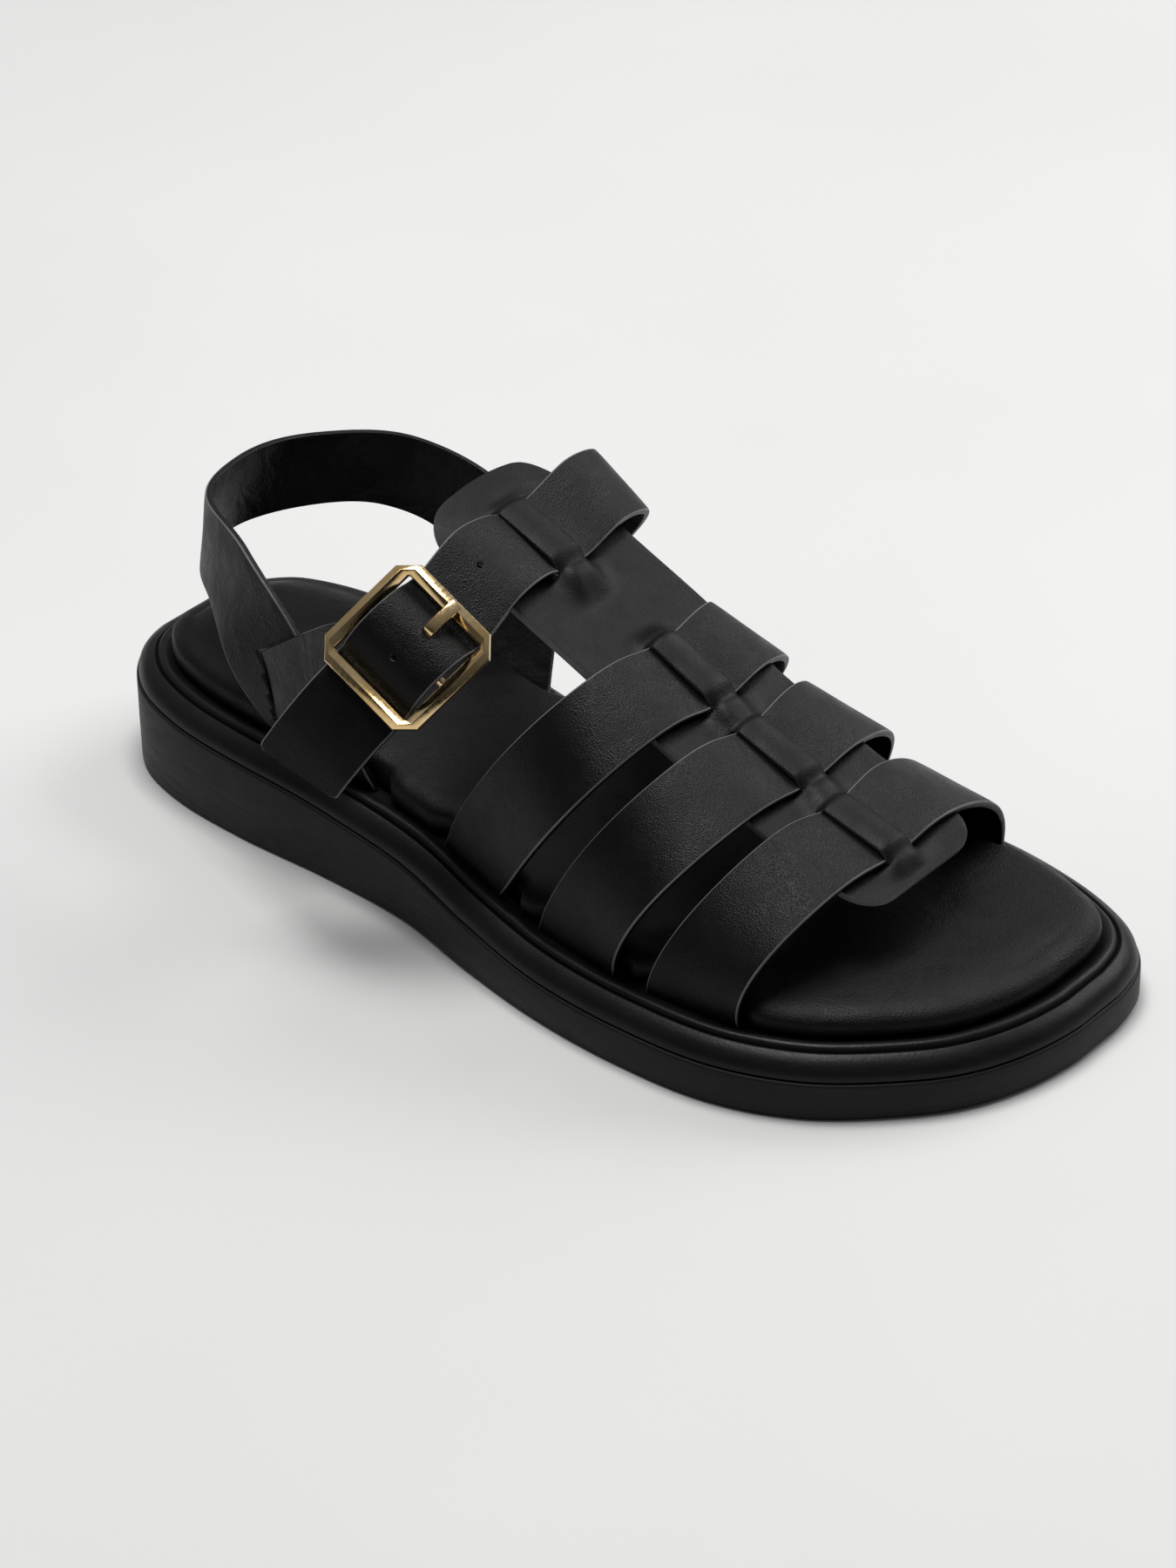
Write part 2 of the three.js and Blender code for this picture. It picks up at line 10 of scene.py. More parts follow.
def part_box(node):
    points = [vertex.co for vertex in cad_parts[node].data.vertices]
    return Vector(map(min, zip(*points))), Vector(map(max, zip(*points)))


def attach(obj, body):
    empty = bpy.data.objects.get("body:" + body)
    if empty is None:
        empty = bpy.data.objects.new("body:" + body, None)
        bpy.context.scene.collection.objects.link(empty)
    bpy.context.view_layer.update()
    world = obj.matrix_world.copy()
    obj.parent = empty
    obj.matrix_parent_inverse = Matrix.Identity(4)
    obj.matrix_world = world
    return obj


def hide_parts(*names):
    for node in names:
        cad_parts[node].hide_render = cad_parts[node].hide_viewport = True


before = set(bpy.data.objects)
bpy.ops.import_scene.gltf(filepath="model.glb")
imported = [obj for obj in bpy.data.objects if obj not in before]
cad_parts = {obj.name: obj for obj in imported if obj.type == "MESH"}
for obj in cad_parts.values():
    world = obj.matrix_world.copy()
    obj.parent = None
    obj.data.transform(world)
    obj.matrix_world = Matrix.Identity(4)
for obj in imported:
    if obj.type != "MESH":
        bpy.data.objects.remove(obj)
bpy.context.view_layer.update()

MM = 0.001

# ------------------------------------------------------------------ shoe sizes
# Outsole outline: station, inner edge, outer edge, from heel to toe.
OUTLINE = [
    (-132.0, -1.5, 11.0),
    (-128.8, -14.5, 20.8),
    (-118.5, -26.8, 31.2),
    (-103.0, -33.2, 37.2),
    (-80.0, -35.8, 40.2),
    (-50.0, -35.6, 41.0),
    (-25.0, -33.8, 43.4),
    (0.0, -38.4, 50.2),
    (25.0, -47.6, 55.6),
    (50.0, -53.8, 57.9),
    (75.0, -55.4, 56.6),
    (95.0, -52.9, 49.2),
    (111.0, -48.2, 36.4),
    (121.5, -42.4, 24.0),
    (128.2, -34.0, 9.0),
    (131.2, -21.5, -7.0),
]
# Heights along the foot: station, underside, top of the wall, edge of the footbed's top,
# and how much the footbed's middle stands over that edge.
HEIGHTS = [
    (-132, 0.0, 23.6, 35.6, 2.2),
    (-100, 0.0, 21.6, 35.0, 3.0),
    (-68, 0.0, 20.0, 33.6, 2.6),
    (-43, 0.0, 17.2, 30.8, 1.8),
    (-21, 0.0, 14.8, 28.0, 1.2),
    (3, 0.0, 12.0, 24.9, 0.9),
    (24, 0.0, 10.2, 22.9, 0.9),
    (60, 0.0, 9.8, 22.3, 0.7),
    (90, 0.0, 9.7, 22.0, 0.8),
    (131, 0.6, 9.2, 21.2, 0.8),
]
# Welt section: distance in from the outline, height above the wall top.
WELT = [
    (1.5, 0.3), (0.85, 0.38), (0.6, 0.6), (0.62, 1.1), (0.85, 1.9), (1.25, 2.75), (1.85, 3.6),
    (2.6, 4.3), (3.4, 4.85), (4.1, 5.2), (4.5, 5.4), (4.75, 5.35), (4.95, 5.0), (5.1, 4.6),
    (5.35, 4.5), (5.5, 4.9), (5.65, 5.5), (6.0, 6.05), (6.6, 6.35), (7.3, 6.4), (8.0, 6.15),
    (8.7, 5.7), (9.7, 5.4),
]
# Footbed side: distance in from the outline, height above the wall top.
BED_SIDE = [(11.2, 5.9), (9.9, 6.15), (9.3, 6.9), (9.1, 8.6)]
# Footbed shoulder: distance in from the outline, drop below the footbed top.
BED_SHOULDER = [(9.2, 2.9), (9.75, 1.9), (11.1, 1.05), (12.4, 0.45), (14.4, 0.12)]
# How far the footbed's edge is pushed in where a strap goes into the sole, and how much less
# it is at each ring up its shoulder.
BED_NOTCH, BED_NOTCH_STEP = 3.0, 0.4
# Where a strap goes in, the bead's rows from this one on move outwards by this much.
BEAD_ROW, BEAD_GIVE = 15, 0.35
# Grooves across the underside, by station: half their width, their depth, and how far in from
# the outline they stop.
TREAD_GROOVES = [-112, -96, -80, 34, 52, 70, 88]
GROOVE_HALF, GROOVE_DEPTH, GROOVE_INSET = 2, 2.0, 7.0

# Centre strip: station and height of its top face.
STRIP_TOP = [
    (-38, 92.0), (-27, 87.7), (-9, 79.0), (12, 69.4),
    (34, 58.2), (60, 47.3), (75, 42.3), (92, 37.4),
]
STRIP = {"inner": -23.3, "outer": 19.3, "rear": -37.2, "front": 91.6, "corner": 9.0}
# Bridges over the straps: rear end, front end, inner slit, outer slit.
BRIDGES = [
    (-28.2, -7.8, -5.6, 3.9),
    (15.0, 35.1, -6.5, 2.4),
    (40.1, 61.0, -5.8, 3.1),
    (65.7, 86.6, -4.0, 5.2),
]
# Vamp strap edges: widest x outer and inner, foot y outer and inner, y and z at the top,
# squareness, sweep, press under the bridge. Each strap has a rear and a front edge.
VAMP = [
    ((38.0, -35.5, -18.0, -18.0, 16.0, 72.2, 3.4, 1.2, 3.4),
     (49.0, -44.5, 3.5, 5.0, 34.0, 62.8, 2.8, 0.95, 3.4)),
    ((44.4, -40.9, 17.5, 21.0, 41.4, 60.4, 2.7, 1.25, 4.4),
     (52.6, -48.2, 42.0, 46.0, 59.7, 50.8, 2.6, 1.3, 2.5)),
    ((48.8, -48.0, 51.5, 61.0, 67.0, 51.2, 1.9, 1.4, 5.1),
     (51.4, -49.0, 76.0, 82.0, 85.2, 43.0, 2.15, 1.5, 2.6)),
]
# Where a vamp strap's edge ends: distance in from the outline, height above the wall top. Its
# press fades this far from the bridge's middle.
FOOT_INSET = 10.1
FOOT_RISE = 5.75
PRESS_REACH = 12.0
# Thickness of the straps, the centre strip and the buckle strap, the rounding of a cut edge,
# and how much a strap's top falls towards its edges.
LEATHER = 1.8
STRIP_LEATHER = 1.6
TIE_LEATHER = 2.0
RIM = 0.38
EDGE_FALL = 0.12
# Bridge slits: height of their ends off the strap's middle, side gap, length over which the
# lanes part, the middle lane's height over the strap and the side ones' depth under it, its
# dome, the length of the fall behind and before the slits, the share of the leather before a
# slit that the fall may take, and how wide the pulled-up ridge is, in half bridge widths.
SLIT_TIP = 1.0
SLIT_GAP = 0.14
SLIT_RUN = 2.6
OVER = 2.9
UNDER = 1.35
DOME = 0.9
TENT = (7.0, 9.0)
TENT_SHARE = 0.85
RIDGE_REACH = 1.1
# Rear tab of the strip: where it starts to bend, over what length, the rise of its middle and
# how far its sides fall below that.
TAB_FROM, TAB_RUN, TAB_RISE, TAB_FALL = -14, 20, 2.2, 4.2

# Buckle, in its own axes: along the bars, down the strap, out from the foot.
BUCKLE_AT = Vector((43.5, -20.0, 76.1))
ALONG = Vector((-0.018, 0.864, -0.503)).normalized()
DOWN_HINT = Vector((0.759, -0.339, -0.556))
OUT = ALONG.cross(DOWN_HINT).normalized() * -1.0
DOWN = OUT.cross(ALONG).normalized()
if DOWN.dot(DOWN_HINT) < 0:
    DOWN = -DOWN
SIDE, OPENING, CLIP = 30.6, 23.4, 4.2
# The centre bar: half its length, how far out it sits, its radius.
BAR_HALF, BAR_OUT, BAR_RADIUS = 12.0, -0.3, 0.95
# Prong from the strap's hole to the far bar: down, out, half width.
PRONG = [
    (-5.2, 0.7, 1.1), (-5.6, 2.3, 1.3), (-6.6, 3.2, 1.4), (-8.6, 3.4, 1.45), (-11.0, 3.1, 1.45),
    (-13.0, 2.75, 1.4), (-14.6, 2.3, 1.35),
]
# Its place along the bar, half its thickness, and how square its section is, less is squarer.
PRONG_ALONG, PRONG_HALF, PRONG_SQUARE = 1.5, 0.7, 0.3
# Round holes in the ankle strap: radius of a free one and of the prong's.
HOLE_RADIUS, PRONG_HOLE_RADIUS = 0.95, 1.7
ANKLE_WIDTH = 22.2

# Ankle strap past the buckle: down, out. Its end is cut slanting.
TAIL_SLANT = 5.0
TAIL = [
    (35.2, -11.7), (30.0, -8.3), (21.0, -4.6), (13.5, -3.2), (10.2, -2.1), (7.6, 0.5), (4.0, 2.5),
    (0.0, 3.0), (-4.0, 2.5), (-7.6, 0.5), (-10.2, -2.1), (-13.5, -3.2),
]
# Ankle strap over the instep to the inner slit of the heel band: rear edge, front edge.
ANKLE = [
    ((20, -25.8, 93.0), (19, -7.3, 82.0)),
    ((9.5, -26.3, 92.0), (8.0, -8.4, 82.3)),
    ((1.5, -26.9, 89.2), (1.0, -9.0, 80.3)),
    ((-6.6, -27.0, 89.5), (-7.6, -9.0, 80.6)),
    ((-21, -26.8, 93.6), (-21, -9.4, 83.6)),
    ((-32, -28.0, 91.2), (-32, -11.6, 80.4)),
    ((-39.5, -34.5, 81.4), (-38.3, -17.6, 72.6)),
    ((-43.2, -46.5, 69.6), (-40.8, -28.0, 60.2)),
    ((-43.0, -57.0, 58.6), (-40.0, -38.5, 49.0)),
    ((-40.8, -64.5, 51.4), (-37.0, -47.0, 41.2)),
]
# Heel band from the outer foot round the heel to the inner foot: lower edge, upper edge.
BAND = [
    ((30.4, -68.0, 26.4), (30.6, -43.0, 23.4)),
    ((35.8, -72.0, 34.0), (35.6, -47.5, 40.0)),
    ((38.6, -79.5, 46.5), (36.9, -59.0, 61.0)),
    ((29.2, -93.9, 54.6), (30.6, -80.8, 74.4)),
    ((17.0, -108.4, 54.8), (17.4, -104.6, 75.7)),
    ((-2.0, -116.0, 54.6), (-2.4, -111.8, 75.4)),
    ((-18.5, -108.8, 55.2), (-22.5, -105.8, 74.6)),
    ((-32.5, -95.6, 54.2), (-38.4, -88.8, 72.2)),
    ((-38.6, -79.0, 48.0), (-43.6, -64.5, 64.0)),
    ((-35.6, -69.0, 35.5), (-38.8, -46.0, 46.0)),
    ((-25.4, -64.0, 26.2), (-24.2, -36.0, 23.0)),
]
# Buckle strap from the outer slit to the buckle: rear edge, front edge.
BUCKLE_STRAP = [
    ((34.4, -73.5, 52.0), (33.4, -70.5, 34.5)),
    ((38.4, -68.5, 55.8), (37.3, -65.5, 37.8)),
    ((41.0, -54.6, 66.0), (40.4, -49.0, 48.0)),
    ((42.9, -41.5, 74.4), (42.5, -32.0, 59.4)),
]
# Its width and its last stretch, under the centre bar: down, out, shift along.
BUCKLE_STRAP_WIDTH = 17
BUCKLE_STRAP_END = [(3.4, -5.6, -3.2), (0.4, -2.9, -0.6), (-1.4, -2.6, 0.0)]
# Stretches of the sole's edge where a strap goes in: side, from, to. A notch starts a margin
# outside its stretch and grows to its full depth over the fade.
NOTCH_MARGIN, NOTCH_FADE = 6.0, 3.0
FEET = [
    (1, -18.0, 3.5), (1, 17.5, 42.0), (1, 51.5, 76.0), (1, -68.0, -43.0),
    (-1, -18.0, 5.0), (-1, 21.0, 46.0), (-1, 61.0, 82.0), (-1, -64.0, -36.0),
]


# --------------------------------------------------------------------- curves
def smooth(t):
    t = min(max(t, 0.0), 1.0)
    return t * t * (3.0 - 2.0 * t)


def column(rows, at, k):
    """Value of column k of a table at a station, on a smooth curve through its rows."""
    i = 0
    while i < len(rows) - 2 and at > rows[i + 1][0]:
        i += 1

    def slope(j):
        a, b = rows[max(j - 1, 0)], rows[min(j + 1, len(rows) - 1)]
        return (b[k] - a[k]) / (b[0] - a[0])

    span = rows[i + 1][0] - rows[i][0]
    t = min(max((at - rows[i][0]) / span, 0.0), 1.0)
    a = 1 + t * t * (2 * t - 3)
    b = t * t * (3 - 2 * t)
    c = t * (t - 1) ** 2
    d = t * t * (t - 1)
    return a * rows[i][k] + b * rows[i + 1][k] + span * (c * slope(i) + d * slope(i + 1))


def spline(points, where, closed=False):
    """Point of a centripetal Catmull-Rom curve; where counts points, 0 at the first."""
    n = len(points)
    i = int(math.floor(where))
    if not closed:
        i = min(max(i, 0), n - 2)
    t = where - i

    def at(j):
        if closed:
            return points[j % n]
        if j < 0:
            return points[0] * 2 - points[1]
        if j >= n:
            return points[-1] * 2 - points[-2]
        return points[j]

    p = [at(i - 1), at(i), at(i + 1), at(i + 2)]
    d0, d1, d2 = (max((p[j + 1] - p[j]).length ** 0.5, 1e-6) for j in range(3))
    t1 = ((p[1] - p[0]) / d0 - (p[2] - p[0]) / (d0 + d1) + (p[2] - p[1]) / d1) * d1
    t2 = ((p[2] - p[1]) / d1 - (p[3] - p[1]) / (d1 + d2) + (p[3] - p[2]) / d2) * d1
    return (
        p[1] * (1 + t * t * (2 * t - 3))
        + t1 * (t * (t - 1) ** 2)
        + p[2] * (t * t * (3 - 2 * t))
        + t2 * (t * t * (t - 1))
    )


EDGE_POINTS = [Vector((o, y, 0)) for y, i, o in OUTLINE] + [
    Vector((i, y, 0)) for y, i, o in reversed(OUTLINE)
]
ROW_STEPS = 8
HALF = (len(OUTLINE) - 1) * ROW_STEPS + 1


def foot_window(y, side):
    """1 where a strap goes into the sole's edge, 0 away from one."""
    most = 0.0
    for s, lo, hi in FEET:
        if s == side:
            start = smooth((y - lo + NOTCH_MARGIN) / NOTCH_FADE)
            stop = smooth((hi + NOTCH_MARGIN - y) / NOTCH_FADE)
            most = max(most, min(start, stop))
    return most


def outline_ring(inset, push=0.0):
    """The outline moved in: outer side from heel to toe, then inner side back."""
    ring = []
    for i in range(2 * HALF):
        where = i / ROW_STEPS if i < HALF else len(OUTLINE) + (i - HALF) / ROW_STEPS
        p = spline(EDGE_POINTS, where, True)
        q = spline(EDGE_POINTS, where + 0.01, True) - spline(EDGE_POINTS, where - 0.01, True)
        q.normalize()
        d = inset
        if push:
            d += push * foot_window(p.y, 1 if i < HALF else -1)
        ring.append(Vector((p.x - q.y * d, p.y + q.x * d, 0)))
    return ring


_side_cache = {}


def side_x(y, side, inset):
    """x of the outline, moved in by an inset, at a station on one side."""
    if inset not in _side_cache:
        _side_cache[inset] = outline_ring(inset)
    ring = _side_cache[inset]
    run = ring[:HALF] if side > 0 else ring[HALF:][::-1]
    i = 0
    while i < len(run) - 2 and y > run[i + 1].y:
        i += 1
    t = (y - run[i].y) / (run[i + 1].y - run[i].y)
    return run[i].x + (run[i + 1].x - run[i].x) * t


def under(y):
    return max(column(HEIGHTS, y, 1), 0.0)


def wall(y):
    return column(HEIGHTS, y, 2)


def bed(y):
    return column(HEIGHTS, y, 3)


def ring_at(inset, height, push=0.0):
    ring = outline_ring(inset, push)
    for p in ring:
        p.z = height(p.y)
    return ring


# --------------------------------------------------------------------- meshes
def box_middle(points):
    low = [min(p[k] for p in points) for k in (0, 1)]
    high = [max(p[k] for p in points) for k in (0, 1)]
    return Vector(((low[0] + high[0]) / 2, (low[1] + high[1]) / 2, 0))


# The shoe's own zero is off the frame's, which is under the middle of the whole sandal.
SHIFT = box_middle([Vector(p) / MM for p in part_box("outsole")]) - box_middle(outline_ring(0))


def place(p):
    return (p + SHIFT) * MM


def add_mesh(name, points, faces, materials, face_materials=None, sharp=50):
    mesh = bpy.data.meshes.new(name)
    mesh.from_pydata([place(p) for p in points], [], faces)
    mesh.validate()
    for m in materials:
        mesh.materials.append(m)
    if face_materials:
        mesh.polygons.foreach_set("material_index", face_materials)
    mesh.polygons.foreach_set("use_smooth", [True] * len(mesh.polygons))
    made = bmesh.new()
    made.from_mesh(mesh)
    bmesh.ops.recalc_face_normals(made, faces=made.faces)
    made.to_mesh(mesh)
    made.free()
    mesh.set_sharp_from_angle(angle=math.radians(sharp))
    obj = bpy.data.objects.new(name, mesh)
    bpy.context.scene.collection.objects.link(obj)
    return obj


def piece(obj, node):
    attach(obj, "root")
    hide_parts(node)
    return obj


def apply_modifiers(obj):
    """Bakes an object's modifiers into its mesh."""
    depsgraph = bpy.context.evaluated_depsgraph_get()
    made = bpy.data.meshes.new_from_object(obj.evaluated_get(depsgraph))
    obj.modifiers.clear()
    obj.data = made


def cut(obj, cutter):
    """Takes one closed object out of another."""
    mod = obj.modifiers.new("cut", "BOOLEAN")
    mod.operation = "DIFFERENCE"
    mod.object = cutter
    mod.solver = "EXACT"
    apply_modifiers(obj)


def drop(*objs):
    for o in objs:
        bpy.data.objects.remove(o)


def stack(name, rings, materials, top_rise=None, columns=0, sharp=50):
    """A closed solid from rings stacked from bottom to top, capped across the foot.

    top_rise(y, t) is the height to add on the top cap, t from 0 at the outer side to 1.
    """
    points = [p for ring in rings for p in ring]
    count = len(rings[0])
    faces = [(i + 1, i, count - 1 - i, count - 2 - i) for i in range(HALF - 1)]
    top = (len(rings) - 1) * count
    lines = []
    for i in range(HALF):
        a, b = top + i, top + count - 1 - i
        line = [a]
        for k in range(1, columns + 1):
            t = k / (columns + 1)
            p = points[a].lerp(points[b], t)
            if top_rise:
                p.z += top_rise(p.y, t) * smooth(min(i, HALF - 1 - i) / (2.5 * ROW_STEPS))
            line.append(len(points))
            points.append(p)
        line.append(b)
        lines.append(line)
    for k in range(len(rings) - 1):
        for i in range(count):
            j = (i + 1) % count
            upper = [(k + 1) * count + j, (k + 1) * count + i]
            if k == len(rings) - 2 and i == HALF - 1:
                upper = lines[-1][::-1]
            elif k == len(rings) - 2 and i == count - 1:
                upper = lines[0]
            faces.append((k * count + i, k * count + j, *upper))
    for r, s in zip(lines, lines[1:]):
        for k in range(len(r) - 1):
            faces.append((r[k], s[k], s[k + 1], r[k + 1]))
    return add_mesh(name, points, faces, materials, sharp=sharp)


def spaced(count):
    """Places from -1 to 1 across a strap, closer together near its edges."""
    return [math.sin(math.pi * (k / count - 0.5)) for k in range(count + 1)]


def ribbon(name, rows, steps, thick, materials, across=12, spread=0.0, lift=None, end=0.0):
    """A leather strap through rows of left and right edge points, with cut edges whose rounded top
    rims carry a painted highlight in light grey.

    spread adds that much on each side to its width and thickness, lift(s, t) moves a point off
    the strap by its place along (0 to 1) and across (-1 to 1), end rounds its first corners.
    """
    left = [Vector(r[0]) for r in rows]
    right = [Vector(r[1]) for r in rows]
    last = len(rows) - 1
    sections = []
    for i in range(steps + 1):
        where = last * i / steps
        sections.append((spline(left, where), spline(right, where)))
    middles = [(a + b) / 2 for a, b in sections]
    half = thick / 2 + spread
    soft = 0.0 if spread else RIM
    points, faces, kinds = [], [], []
    loop = 0
    gone = 0.0
    for i, (a, b) in enumerate(sections):
        if i:
            gone += (middles[i] - middles[i - 1]).length
        forward = middles[min(i + 1, steps)] - middles[max(i - 1, 0)]
        over = (b - a).normalized()
        normal = over.cross(forward).normalized()
        width = (b - a).length / 2 + spread
        if end and gone < end:
            width -= end - math.sqrt(max(end * end - (end - gone) ** 2, 0.0))
        middle = (a + b) / 2
        top = [(t * (width - soft), half - EDGE_FALL * abs(t) ** 8, t) for t in spaced(across)]
        side = [
            (width - soft * (1 - math.sin(q)), half - EDGE_FALL - soft * (1 - math.cos(q)), 1)
            for q in (0.5, 1.05, 1.5708)
        ]
        low = [(width, -half + soft, 1), (width - 0.4 * soft, -half + 0.1 * soft, 1)]
        profile = top + side + low
        profile += [(-t * (width - soft), -half, -t) for t in spaced(across)]
        profile += [(-u, v, -1) for u, v, t in reversed(side + low)]
        loop = len(profile)
        # The faces round the strap's top corners get the light grey edge colour, a painted
        # highlight along its rims; the cut side between them keeps the leather's colour.
        highlight_rims = {across, across + 1, across + 2, loop - 1, loop - 2, loop - 3}
        for u, v, t in profile:
            off = lift(i / steps, t) if lift else 0.0
            points.append(middle + over * u + normal * (v + off))
        if i:
            for k in range(loop):
                j = (k + 1) % loop
                base = (i - 1) * loop
                faces.append((base + k, base + j, base + loop + j, base + loop + k))
                inside = across + 5 < k < loop - 6
                kinds.append(1 if k in highlight_rims else (2 if inside else 0))
    faces.append(tuple(range(loop)))
    faces.append(tuple(reversed(range(steps * loop, (steps + 1) * loop))))
    kinds += [0, 0]
    used = [min(k, len(materials) - 1) for k in kinds]
    return add_mesh(name, points, faces, materials, used, sharp=38)


def arch_edge(edge, middle, steps):
    """Edge of a vamp strap, from its outer foot over the top to its inner one."""
    outer, inner, foot_outer, foot_inner, top_y, top_z, power, sweep, press = edge
    points = []
    for i in range(steps + 1):
        angle = math.pi * i / steps
        side = 1 if math.cos(angle) >= 0 else -1
        reach = outer if side > 0 else inner
        foot_y = foot_outer if side > 0 else foot_inner
        foot_x = side_x(foot_y, side, FOOT_INSET)
        foot_z = wall(foot_y) + FOOT_RISE
        along = abs(math.cos(angle)) ** (2 / power)
        lift = abs(math.sin(angle)) ** (2 / power)
        tuck = (reach - foot_x) * (1 - lift) ** 2 * along
        x = middle + along * (reach - middle) - tuck
        hold = press * math.exp(-(((x - middle) / PRESS_REACH) ** 2))
        y = foot_y + (top_y - foot_y) * lift**sweep
        points.append(Vector((x, y, foot_z + (top_z - foot_z) * lift - hold)))
    return points


def at_buckle(along, down, out):
    return BUCKLE_AT + ALONG * along + DOWN * down + OUT * out


# ------------------------------------------------------------------ materials
def new_material(name):
    mat = bpy.data.materials.new(name)
    mat.use_nodes = True
    nodes, links = mat.node_tree.nodes, mat.node_tree.links
    shader = nodes["Principled BSDF"]
    where = nodes.new("ShaderNodeTexCoord").outputs["Object"]
    return mat, nodes, links, shader, where


def texture(nodes, links, where, kind, scale, stretch=None, **values):
    """A noise or cell texture in the shoe's own space; scale counts features a metre."""
    node = nodes.new(kind)
    source = where
    if stretch:
        bend = nodes.new("ShaderNodeMapping")
        bend.inputs["Scale"].default_value = stretch
        links.new(where, bend.inputs["Vector"])
        source = bend.outputs["Vector"]
    links.new(source, node.inputs["Vector"])
    node.inputs["Scale"].default_value = scale
    for key, value in values.items():
        node.inputs[key].default_value = value
    return node


def spread_value(nodes, links, source, low, high, start=0.3, stop=0.7):
    node = nodes.new("ShaderNodeMapRange")
    node.inputs["From Min"].default_value = start
    node.inputs["From Max"].default_value = stop
    node.inputs["To Min"].default_value = low
    node.inputs["To Max"].default_value = high
    links.new(source, node.inputs["Value"])
    return node.outputs["Result"]


def two_tone(nodes, links, source, dark, light, start=0.35, stop=0.65):
    ramp = nodes.new("ShaderNodeValToRGB")
    ramp.color_ramp.elements[0].position = start
    ramp.color_ramp.elements[0].color = (*dark, 1)
    ramp.color_ramp.elements[1].position = stop
    ramp.color_ramp.elements[1].color = (*light, 1)
    links.new(source, ramp.inputs["Fac"])
    return ramp.outputs["Color"]


def bump(nodes, links, source, strength, distance, under_it=None):
    node = nodes.new("ShaderNodeBump")
    node.inputs["Strength"].default_value = strength
    node.inputs["Distance"].default_value = distance
    links.new(source, node.inputs["Height"])
    if under_it:
        links.new(under_it, node.inputs["Normal"])
    return node.outputs["Normal"]


def leather(name, dark, light, rough, grain, depth, wrinkle=0.0):
    """Grained leather: pebbles a fraction of a millimetre wide over broad soft wrinkles."""
    mat, nodes, links, shader, where = new_material(name)
    tone = texture(nodes, links, where, "ShaderNodeTexNoise", 45, Detail=3)
    links.new(two_tone(nodes, links, tone.outputs["Fac"], dark, light), shader.inputs["Base Color"])
    wear = texture(nodes, links, where, "ShaderNodeTexNoise", 160, Detail=4)
    links.new(
        spread_value(nodes, links, wear.outputs["Fac"], rough - 0.06, rough + 0.08),
        shader.inputs["Roughness"],
    )
    cells = texture(nodes, links, where, "ShaderNodeTexVoronoi", grain)
    pores = texture(nodes, links, where, "ShaderNodeTexNoise", grain * 0.9, Detail=3)
    folds = texture(nodes, links, where, "ShaderNodeTexNoise", 95, Detail=5, Distortion=1.2)
    normal = bump(nodes, links, folds.outputs["Fac"], 0.25 + wrinkle, 0.0008)
    normal = bump(nodes, links, cells.outputs["Distance"], depth, 0.00022, normal)
    normal = bump(nodes, links, pores.outputs["Fac"], depth * 0.7, 0.00012, normal)
    links.new(normal, shader.inputs["Normal"])
    shader.inputs["Specular IOR Level"].default_value = 0.17
    return mat


def rubber(name, dark, light, rough, depth, scuffs):
    """Moulded rubber: matte, with a fine texture and sparse rubbed marks."""
    mat, nodes, links, shader, where = new_material(name)
    tone = texture(nodes, links, where, "ShaderNodeTexNoise", 30, Detail=4)
    marks = texture(
        nodes, links, where, "ShaderNodeTexNoise", 70, (1, 1, 6), Detail=8, Distortion=2.0
    )
    base = two_tone(nodes, links, tone.outputs["Fac"], dark, light)
    rubbed = nodes.new("ShaderNodeMix")
    rubbed.data_type = "RGBA"
    rubbed.inputs["B"].default_value = (*(c * 2.4 for c in light), 1)
    links.new(base, rubbed.inputs["A"])
    links.new(
        spread_value(nodes, links, marks.outputs["Fac"], 0.0, scuffs, 0.66, 0.8),
        rubbed.inputs["Factor"],
    )
    links.new(rubbed.outputs["Result"], shader.inputs["Base Color"])
    links.new(
        spread_value(nodes, links, marks.outputs["Fac"], rough - 0.05, rough + 0.07),
        shader.inputs["Roughness"],
    )
    grain = texture(nodes, links, where, "ShaderNodeTexNoise", 1300, Detail=2)
    swell = texture(nodes, links, where, "ShaderNodeTexNoise", 60, Detail=2)
    normal = bump(nodes, links, swell.outputs["Fac"], 0.15, 0.0006)
    shader.inputs["Specular IOR Level"].default_value = 0.19
    normal = bump(nodes, links, grain.outputs["Fac"], depth, 0.0001, normal)
    links.new(normal, shader.inputs["Normal"])
    return mat


def gold(name):
    """Pale gold plate: polished, with faint drawn lines and small tone changes."""
    mat, nodes, links, shader, where = new_material(name)
    shader.inputs["Metallic"].default_value = 1.0
    tone = texture(nodes, links, where, "ShaderNodeTexNoise", 160, Detail=3)
    links.new(
        two_tone(nodes, links, tone.outputs["Fac"], (0.80, 0.54, 0.24), (0.95, 0.72, 0.40)),
        shader.inputs["Base Color"],
    )
    lines = texture(nodes, links, where, "ShaderNodeTexNoise", 500, (0.3, 2.5, 2.5), Detail=4)
    links.new(
        spread_value(nodes, links, lines.outputs["Fac"], 0.09, 0.2), shader.inputs["Roughness"]
    )
    links.new(bump(nodes, links, lines.outputs["Fac"], 0.08, 0.0001), shader.inputs["Normal"])
    return mat


def floor_paint(name):
    mat, nodes, links, shader, where = new_material(name)
    tone = texture(nodes, links, where, "ShaderNodeTexNoise", 3, Detail=4)
    links.new(
        two_tone(nodes, links, tone.outputs["Fac"], (0.70, 0.695, 0.685), (0.735, 0.73, 0.72)),
        shader.inputs["Base Color"],
    )
    shader.inputs["Roughness"].default_value = 0.7
    fine = texture(nodes, links, where, "ShaderNodeTexNoise", 220, Detail=3)
    links.new(bump(nodes, links, fine.outputs["Fac"], 0.08, 0.0004), shader.inputs["Normal"])
    return mat


